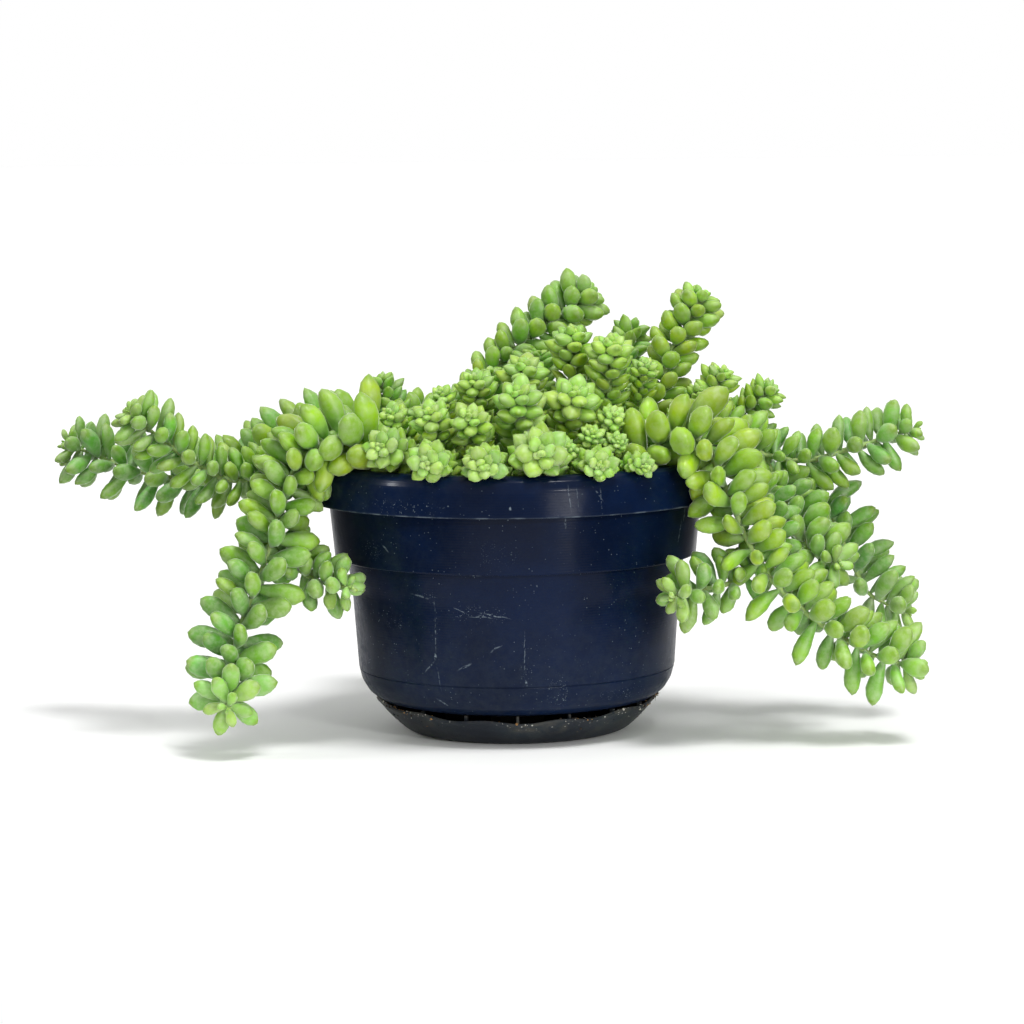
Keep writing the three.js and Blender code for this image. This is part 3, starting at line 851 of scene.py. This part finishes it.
def makeLeaf(name, profile):
    # a leaf 1 long along Z and 1 wide, its flatter side towards +Y and an edge on each side
    vertices, along, edge = [(0, 0, 0)], [0.0], [0.0]
    for height, half in profile:
        for i in range(leafSides):
            turn = 2 * math.pi * i / leafSides
            x, y = math.cos(turn), math.sin(turn)
            depth = leafFlat if y > 0 else 1.0
            vertices.append((0.5 * half * x, 0.5 * half * y * depth, height))
            along.append(height)
            edge.append(abs(x))
    mesh = newMesh(name, vertices + [(0, 0, 1)], closedFaces(len(profile), leafSides))
    store(mesh, "along", along + [1.0])
    store(mesh, "edge", edge + [tipEdge])
    return bpy.data.objects.new(name, mesh)


# reading the tails off the frame
def readTail(node):
    # Rings of the tail's solid, walked from the root's end to the growing tip, give its middle line.
    corners = np.array([v.co[:] for v in node.data.vertices])
    places, index = np.unique(np.round(corners, 6), axis=0, return_inverse=True)
    index = index.ravel()
    neighbours = [set() for _ in places]
    for polygon in node.data.polygons:
        ring = {index[v] for v in polygon.vertices}
        for corner in ring:
            neighbours[corner] |= ring - {corner}
    out = np.hypot(places[:, 0], places[:, 1])
    rooted = np.flatnonzero((places[:, 2] < soil["top"] * mm) & (out < pot["rimInner"] * mm))
    middle = places[rooted].mean(0)
    front = [rooted[np.linalg.norm(places[rooted] - middle, axis=1).argmin()]]
    seen = set(front)
    centres, reach = [], []
    while front:
        ring = places[front]
        centres.append(ring.mean(0))
        reach.append(np.linalg.norm(ring - ring.mean(0), axis=1).max())
        front = sorted({n for i in front for n in neighbours[i]} - seen)
        seen |= set(front)
    return np.array(centres[1:]), np.array(reach[1:])


def splinePath(points, values, step):
    # a smooth line through the rings at even steps, with a value for each
    padded = np.vstack([2 * points[0] - points[1], points, 2 * points[-1] - points[-2]])
    finePerRing = 12
    fine, fineValues = [], []
    for i in range(len(points) - 1):
        p0, p1, p2, p3 = padded[i:i + 4]
        for t in np.linspace(0, 1, finePerRing, endpoint=False):
            fine.append(0.5 * (2 * p1 + (p2 - p0) * t + (2 * p0 - 5 * p1 + 4 * p2 - p3) * t ** 2
                               + (3 * p1 - p0 - 3 * p2 + p3) * t ** 3))
            fineValues.append(blend(values[i], values[i + 1], t))
    fine.append(points[-1])
    fineValues.append(values[-1])
    fine = np.array(fine)
    run = np.concatenate([[0], np.cumsum(np.linalg.norm(np.diff(fine, axis=0), axis=1))])
    marks = np.linspace(0, run[-1], max(8, int(run[-1] / step)))
    line = np.stack([np.interp(marks, run, fine[:, k]) for k in range(3)], axis=1)
    return marks, line, np.interp(marks, run, fineValues)


def carriedFrames(line):
    # tangents, and a sideways vector that turns with the line without twisting round it
    tangents = unit(np.gradient(line, axis=0))
    side = unit(np.cross(tangents[0], [0.3, 0.9, 0.1]))
    sides = []
    for tangent in tangents:
        side = unit(side - tangent * side.dot(tangent))
        sides.append(side)
    return tangents, np.array(sides)


# where the leaves grow
habit = {
    "leaf": "long",
    "thick": 0.9,         # through the leaf, against its width
    "leafShare": 1.06,    # leaf length against how far the CAD solid reaches
    "steady": (0.85, 0.6),  # least reach to count with at root and tip, against the tail's largest
    "swell": (1.0, 0.4),  # leaf length at the root against the rest, and the share of stem until then
    "swellPlump": 1.0,
    "swellLean": 0,       # degrees that those leaves lie closer to the stem
    "bare": 1.5,          # mm of stem without leaves at the root
    "nod": (0, 0, 0),     # mm that the growing tip bends further than the CAD solid
    "spacing": 0.082,     # stem between two leaves, against the leaf's length
    "young": 13,          # leaves at the tip that aren't full size yet
    "budSize": 0.17,
    "budLean": 10,        # degrees between a bud leaf and the stem
    "openLean": 76,
    "opening": 8,         # leaves until that lean is reached
    "plump": 0.46,        # width against length, on an old leaf and a young one
    "plumpYoung": 0.5,
    "slimFrom": 24,       # leaves from the tip until a leaf has the old one's width, and its colour
    "ripeFrom": 26,
    "lift": 0.14,         # how far leaves turn up to the light, and how much more on a hanging stem
    "liftHanging": 0.42,
    "warm": (0.5, 0.15),  # yellowness at the root and at the tip
}
rosette = {"leaf": "short", "thick": 0.8, "plump": 0.55, "plumpYoung": 0.78, "openLean": 64, "opening": 15,
           "warm": (0.6, 0.5), "leafShare": 1.14, "young": 10, "budSize": 0.45, "budLean": 16,
           "spacing": 0.09, "swell": (0.55, 0.85), "steady": (1.0, 0.85), "nod": (0, -9, 0)}
fullRosette = dict(rosette, spacing=0.1, nod=(0, -12, -2), opening=13, young=12)
frontRosette = dict(rosette, swell=(1.0, 0.4))
stubby = {"leaf": "short", "plump": 0.52, "plumpYoung": 0.6, "leafShare": 1.15}
upright = {"spacing": 0.1, "steady": (1.0, 0.8)}
inner = {"spacing": 0.1, "nod": (0, -8, 0)}
# tails that differ from the habit
looks = {
    "front": dict(frontRosette, leafShare=1.22, nod=(0, -7, -5)),
    "front_1": dict(frontRosette, leafShare=1.6, nod=(0, -7, -1)),
    # middle and crown have a higher warm share partly as painted light: the warm tint is the lighter one and
    # lifts their shaded leaves
    "middle": dict(fullRosette, leafShare=1.2, warm=(0.8, 0.55)),
    "crown": dict(fullRosette, leafShare=1.26, warm=(1.0, 0.8)),
    "back_tall": dict(upright, plump=0.6, plumpYoung=0.6, warm=(0.9, 0.3), leafShare=1.0, spacing=0.09),
    "right_tall": dict(upright, plump=0.58, plumpYoung=0.58, warm=(1.0, 0.8), leafShare=0.9),
    "right_level": dict(upright, plump=0.48, warm=(0.9, 0.1), leafShare=1.14, openLean=84),
    "right_rear": dict(stubby, warm=(0.5, 0.3)),
    "left_short": dict(stubby, warm=(0.5, 0.3)),
    # right_short is warmer partly as painted light, its lighter tint standing in for the light falling on it
    "right_short": dict(stubby, warm=(0.9, 0.6)),
    "left_front": {
        "warm": (0.9, 0.0), "openLean": 80, "plump": 0.48, "lift": 0.04, "liftHanging": 0.46,
        "leafShare": 1.12, "spacing": 0.09, "swell": (1.75, 0.45), "swellPlump": 1.12, "swellLean": 26,
        "steady": (0.9, 0.75), "nod": (0, -8, 2), "bare": 10},
    "left_long": {
        "warm": (0.7, 0.0), "openLean": 84, "plump": 0.42, "leafShare": 1.16, "swell": (1.7, 0.55),
        "swellPlump": 1.2, "steady": (0.95, 0.45), "young": 16, "bare": 20},
    "left_raised": {
        "warm": (0.8, 0.3), "leafShare": 1.14, "swell": (1.75, 0.55), "swellPlump": 1.15, "bare": 24},
    "right_front": {
        "warm": (1.0, 0.35), "lift": 0.04, "plump": 0.46, "leafShare": 1.12, "spacing": 0.088,
        "swell": (1.55, 0.5), "swellPlump": 1.25, "swellLean": 18, "steady": (0.9, 0.68), "bare": 10},
    "right_back": {
        "warm": (0.3, 0.1), "plump": 0.39, "leafShare": 1.3, "spacing": 0.1, "steady": (0.95, 0.8)},
    "left_inner": dict(inner, warm=(0.5, 0.2), bare=22, leafShare=1.25, plump=0.5),
    "right_inner": dict(inner, warm=(0.4, 0.2), leafShare=1.35, plump=0.46),
    "right_middle": dict(inner, warm=(0.4, 0.2), leafShare=1.6, plump=0.48),
    "rear": {"warm": (0.6, 0.3), "plump": 0.5},
}
stem = {
    "girth": 1.2,        # mm
    "step": 1.0,         # mm between the points of its line
    "taper": (4, 0.25),  # shares of the girth at the root and at the tip, where more than 1 counts as 1
    "leafless": 2.9,     # mm of reach under which no leaf grows, save at the tip
    "uneven": 1.3,       # mm across which a noise pushes the leaves' surface about
}
seeds = {"plan": 11, "leaf": 4}
goldenAngle = 137.508
# how far one leaf may differ from the next
chances = {
    "size": (0.88, 1.1), "lean": (-11, 11), "width": (0.92, 1.08), "curl": (0.06, 0.17),
    "warm": (-0.2, 0.2), "spacing": (0.9, 1.1), "turn": (-7, 7),
}


def lookOf(name):
    word = name.removeprefix("tail_")
    match = max((key for key in looks if word.startswith(key)), key=len, default=None)
    return {**habit, **(looks[match] if match else {})}


def planLeaves(node, look, dice):
    centres, reach = readTail(node)
    ringLimit = np.array([reach[max(0, i - 3):i + 4].max() for i in range(len(reach))])
    marks, line, local = splinePath(centres, reach, stem["step"] * mm)
    full = splinePath(centres, ringLimit, stem["step"] * mm)[2]
    line = line + (marks / marks[-1])[:, None] ** 2 * np.array(look["nod"]) * mm
    tangents, sides = carriedFrames(line)
    length = marks[-1]
    place = length - 0.3 * full[-1]
    tip = int(place / length * (len(marks) - 1)) + 1
    turn = dice.uniform(0, 360)
    leaves, count = [], 0
    while place > look["bare"] * mm:
        k = min(len(marks) - 1, int(place / length * (len(marks) - 1)))
        along = place / length
        swollen = 1 - smooth(along / look["swell"][1])
        steady = full.max() * blend(*look["steady"], along)
        biggest = look["leafShare"] * max(full[k], steady) * blend(1.0, look["swell"][0], swollen)
        grown = min(1.0, max(0.0, count - 2) / look["young"]) ** 0.55
        size = biggest * blend(look["budSize"], 1.0, grown)
        room = local[k] / full[k]
        if local[k] > stem["leafless"] * mm or count < look["young"]:
            size *= min(1.0, 0.6 + 0.55 * room) * dice.uniform(*chances["size"])
            lean = blend(look["budLean"], look["openLean"], smooth((count + 1) / look["opening"]))
            lean = math.radians(lean - look["swellLean"] * swollen + dice.uniform(*chances["lean"]))
            angle = math.radians(turn)
            tangent = tangents[k]
            radial = math.cos(angle) * sides[k] + math.sin(angle) * np.cross(tangent, sides[k])
            hanging = max(0.0, -tangent[2])
            # on a hanging stem the leaves at the front, where the light is, turn up most
            lit = hanging * blend(0.8, 2.0, max(0.0, -radial[1]))
            plump = blend(look["plumpYoung"], look["plump"], smooth(count / look["slimFrom"]))
            leaves.append({
                "base": line[k] + radial * stem["girth"] * 0.6 * mm * grown,
                "way": unit(math.cos(lean) * tangent + math.sin(lean) * radial
                            + grown * (look["lift"] + look["liftHanging"] * lit) * up),
                "bend": 0.75 * tangent + (0.25 + 0.6 * hanging) * up,
                "length": size,
                "width": (size * plump * dice.uniform(*chances["width"])
                          * blend(1.0, look["swellPlump"], swollen)),
                "thick": look["thick"],
                "curl": dice.uniform(*chances["curl"]) * grown,
                "age": smooth(count / look["ripeFrom"]),
                "warm": min(1, max(0, blend(*look["warm"], along) + dice.uniform(*chances["warm"]))),
                "tint": dice.random(),
            })
        crowding = blend(0.2, 1.0, smooth(count / (1.6 * look["young"])))
        place -= look["spacing"] * biggest * crowding * dice.uniform(*chances["spacing"])
        turn += goldenAngle + dice.uniform(*chances["turn"])
        count += 1
    return leaves, line[:tip]


# leaves press against each other
pressing = {
    "rounds": 26,
    "balls": [(0.34, 0.84), (0.60, 0.98), (0.84, 0.70)],  # place along a leaf, radius against half its width
    "give": 0.93,         # how far apart two balls stay, against both their radii
    "spring": 0.06,       # pull back to the planned way, each round
    "near": 3,            # mm apart at which two balls may come to touch
    "pace": 0.75,         # share of the wanted turn made in a round
    "mostTurn": 0.25,     # of one round, in radians
    "mostSqueeze": 0.36,  # most of a leaf's width that counts as pressed in, half of which it gives up
    "onRim": 6,           # mm under the rim's top where a ball is still lifted onto it
    "through": (2, 3),    # mm inside the rim's side and under its top where a leaf would go through it
}


def pushOffPot(places, radii):
    # how far each ball has to move to be clear of the rim, the wall, the soil and the floor
    out = np.hypot(places[:, 0], places[:, 1])
    away = places * [1, 1, 0] / np.maximum(out, 1e-6)[:, None]
    z = places[:, 2]
    rim, rimInner, top = pot["rim"] * mm, pot["rimInner"] * mm, pot["height"] * mm
    lower = np.where(z > pot["shoulder"] * mm, pot["band"], pot["body"])
    wall = np.where(z > pot["lip"] * mm, pot["rim"], lower) * mm
    middle = 0.5 * (rim + rimInner)
    push = away * np.where((out > middle) & (z < top), np.maximum(0, wall + radii - out), 0)[:, None]
    onRim = (out > rimInner - radii * 0.5) & (out < rim + radii * 0.5) & (z > top - pressing["onRim"] * mm)
    push[:, 2] += np.where(onRim, np.maximum(0, top + radii - z), 0)
    push[:, 2] += np.where(out < rimInner, np.maximum(0, soil["top"] * mm + radii * 0.6 - z), 0)
    push -= away * np.where((out < middle) & (z < top), np.maximum(0, out + radii - rimInner), 0)[:, None]
    push[:, 2] += np.maximum(0, radii - z)
    return push


def settle(leaves):
    base, rest, bend, length, width, thick, curl = (np.array([leaf[key] for leaf in leaves]) for key in (
        "base", "way", "bend", "length", "width", "thick", "curl"))
    share, girth = np.array(pressing["balls"]).T
    radii = (0.5 * width[:, None] * girth[None, :] * (1 + thick[:, None]) / 2).ravel()
    owner = np.repeat(np.arange(len(leaves)), len(share))
    lever = np.tile(share, len(leaves))
    way = rest.copy()

    def curveOf(way):
        return unit(bend - way * (bend * way).sum(1, keepdims=True)) * (curl * length)[:, None]

    def ballPlaces(way):
        straight = way[:, None] * (length[:, None] * share)[..., None]
        curved = curveOf(way)[:, None] * (share ** 2)[None, :, None]
        return (base[:, None] + straight + curved).reshape(-1, 3)

    start = ballPlaces(way)
    tree = kdtree.KDTree(len(start))
    for i, place in enumerate(start):
        tree.insert(place, i)
    tree.balance()
    near = pressing["near"] * mm
    pairs = [(i, j) for i, place in enumerate(start)
             for _, j, gap in tree.find_range(place, radii[i] + radii.max() + near)
             if j > i and owner[i] != owner[j] and gap < radii[i] + radii[j] + near]
    first, second = np.array(pairs).T
    touch = (radii[first] + radii[second]) * pressing["give"]
    for _ in range(pressing["rounds"]):
        places = ballPlaces(way)
        apart = places[first] - places[second]
        press = np.maximum(0, touch - np.linalg.norm(apart, axis=1)) * 0.5
        moves = pushOffPot(places, radii * 0.9)
        np.add.at(moves, first, unit(apart) * press[:, None])
        np.add.at(moves, second, -unit(apart) * press[:, None])
        turnBy = (moves * lever[:, None]).reshape(len(leaves), -1, 3).sum(1) / length[:, None]
        size = np.linalg.norm(turnBy, axis=1, keepdims=True)
        turnBy *= np.minimum(1, pressing["mostTurn"] / np.maximum(size, 1e-9))
        way = unit(way + pressing["pace"] * turnBy + pressing["spring"] * (rest - way))
    # what still presses makes a leaf narrower
    places = ballPlaces(way)
    excess = np.maximum(0, touch - np.linalg.norm(places[first] - places[second], axis=1))
    worst = np.zeros(len(start))
    np.maximum.at(worst, first, excess)
    np.maximum.at(worst, second, excess)
    deepest = worst.reshape(len(leaves), -1)[:, 1:].max(1)
    squeezed = 1 - 0.5 * np.clip(deepest / width, 0, pressing["mostSqueeze"])
    # a leaf that would run from inside the rim to outside it is left out
    ends = base + way * length[:, None] * 0.9
    fromInside = np.hypot(base[:, 0], base[:, 1]) < pot["rimInner"] * mm
    insideSide, underTop = pressing["through"]
    toOutside = np.hypot(ends[:, 0], ends[:, 1]) > (pot["rim"] - insideSide) * mm
    low = np.minimum(base[:, 2], ends[:, 2]) < (pot["height"] - underTop) * mm
    through = fromInside & toOutside & low
    for leaf, w, c, s, t in zip(leaves, way, curveOf(way), squeezed, through):
        leaf.update(way=w, curve=c, width=leaf["width"] * s, through=t)
    print("leaves:", len(leaves), "narrowed:", int((squeezed < 0.97).sum()), "left out:", int(through.sum()))


# a leafy tail as geometry nodes
def makeTailTree():
    tree, given = newTreeWith("leafyTail", [
        ("Leaf", "Object"), ("Plumpness", "Float"), ("Curl", "Float"), ("Unevenness", "Float"),
        ("Stem Girth", "Float"), ("Seed", "Int"), ("Leaf Skin", "Material"), ("Stem Skin", "Material")])
    parts = addNode(tree, "GeometryNodeSeparateGeometry", {
        "Geometry": given["Geometry"], "Selection": stored(tree, "isStem", "BOOLEAN")}).outputs
    # leaves: one on each point, turned and sized as the point says
    wide = times(given["Plumpness"], chanceOf(tree, 0.97, 1.03, given["Seed"]))
    fullness = outOf(tree, "ShaderNodeCombineXYZ", {0: wide, 1: wide, 2: 1.0})
    size = vectorOf("MULTIPLY", stored(tree, "size", "FLOAT_VECTOR"), fullness)
    copies = copiesOn(parts["Inverted"], given["Leaf"],
                      Rotation=stored(tree, "turn", "QUATERNION"), Scale=size)
    along = stored(tree, "along")
    squared = times(along, along, given["Curl"])
    bow = vectorOf("SCALE", stored(tree, "curve", "FLOAT_VECTOR"), squared)
    bent = moved(realOf(copies), bow)
    # no leaf is quite even
    cloud = outOf(tree, "ShaderNodeTexNoise", {"Scale": 170.0, "Detail": 1.0}, "Color")
    uneven = moved(bent, shiftOf(cloud, given["Unevenness"]))
    # stem: a tube along the edges, as thick as each point says
    tube = outOf(tree, "GeometryNodeCurveToMesh", {
        "Curve": outOf(tree, "GeometryNodeMeshToCurve", {"Mesh": parts["Selection"]}),
        "Profile Curve": outOf(tree, "GeometryNodeCurvePrimitiveCircle", {"Resolution": 8, "Radius": 1.0}),
        "Scale": times(stored(tree, "girth"), given["Stem Girth"]), "Fill Caps": True})
    whole = joined(clad(tube, given["Stem Skin"]), clad(uneven, given["Leaf Skin"]))
    addNode(tree, "NodeGroupOutput", {"Geometry": smoothed(whole)})
    return tree


def makeTailPiece(name, shape, leaves, line):
    # a point for each step of the stem, joined by edges, and a loose point for each leaf
    steps, count = len(line), len(leaves)
    points = [tuple(p) for p in line] + [tuple(leaf["base"]) for leaf in leaves]
    mesh = newMesh(name, points, [], edges=[(i, i + 1) for i in range(steps - 1)])

    def storeBoth(label, onStem, onLeaves, *kind):
        store(mesh, label, np.concatenate([onStem, np.array(onLeaves)]), *kind)

    turns, sizes = [], []
    for leaf in leaves:
        z, y = leaf["way"], unit(leaf["curve"])
        turns.append(Matrix(np.column_stack([np.cross(y, z), y, z])).to_quaternion()[:])
        sizes.append((leaf["width"], leaf["width"] * leaf["thick"], leaf["length"]))
    curves = [leaf["curve"] for leaf in leaves]
    storeBoth("isStem", np.ones(steps, bool), np.zeros(count, bool), "BOOLEAN")
    storeBoth("girth", np.minimum(1, np.linspace(*stem["taper"], steps)) ** 0.6, np.ones(count))
    storeBoth("turn", np.tile([1.0, 0, 0, 0], (steps, 1)), turns, "QUATERNION")
    storeBoth("size", np.ones((steps, 3)), sizes, "FLOAT_VECTOR", "vector")
    storeBoth("curve", np.zeros((steps, 3)), curves, "FLOAT_VECTOR", "vector")
    for label in ("age", "tint", "warm"):
        storeBoth(label, np.zeros(steps), [leaf[label] for leaf in leaves])
    piece = linkObject(name, mesh)
    grow(piece, tailTree, {
        "Leaf": shape, "Seed": seeds["leaf"], "Plumpness": 1.0, "Curl": 1.0,
        "Unevenness": stem["uneven"] * mm, "Stem Girth": stem["girth"] * mm,
        "Leaf Skin": leafSkin, "Stem Skin": stemSkin})
    return piece


leafSkin = makeLeafSkin(leafTints)
stemSkin = makeStemSkin()
leafObjects = {name: makeLeaf(name + "Leaf", profile) for name, profile in leafShapes.items()}
tailTree = makeTailTree()
dice = random.Random(seeds["plan"])
tails = {name: planLeaves(node, lookOf(name), dice)
         for name, node in sorted(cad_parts.items()) if name.startswith("tail_")}
settle([leaf for leaves, _ in tails.values() for leaf in leaves])
for name, (leaves, line) in tails.items():
    leaves = [leaf for leaf in leaves if not leaf["through"]]
    piece = makeTailPiece(name.replace("tail_", "leafy_"), leafObjects[lookOf(name)["leaf"]], leaves, line)
    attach(piece, "root")
    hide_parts(name)
print("tails:", len(tails))
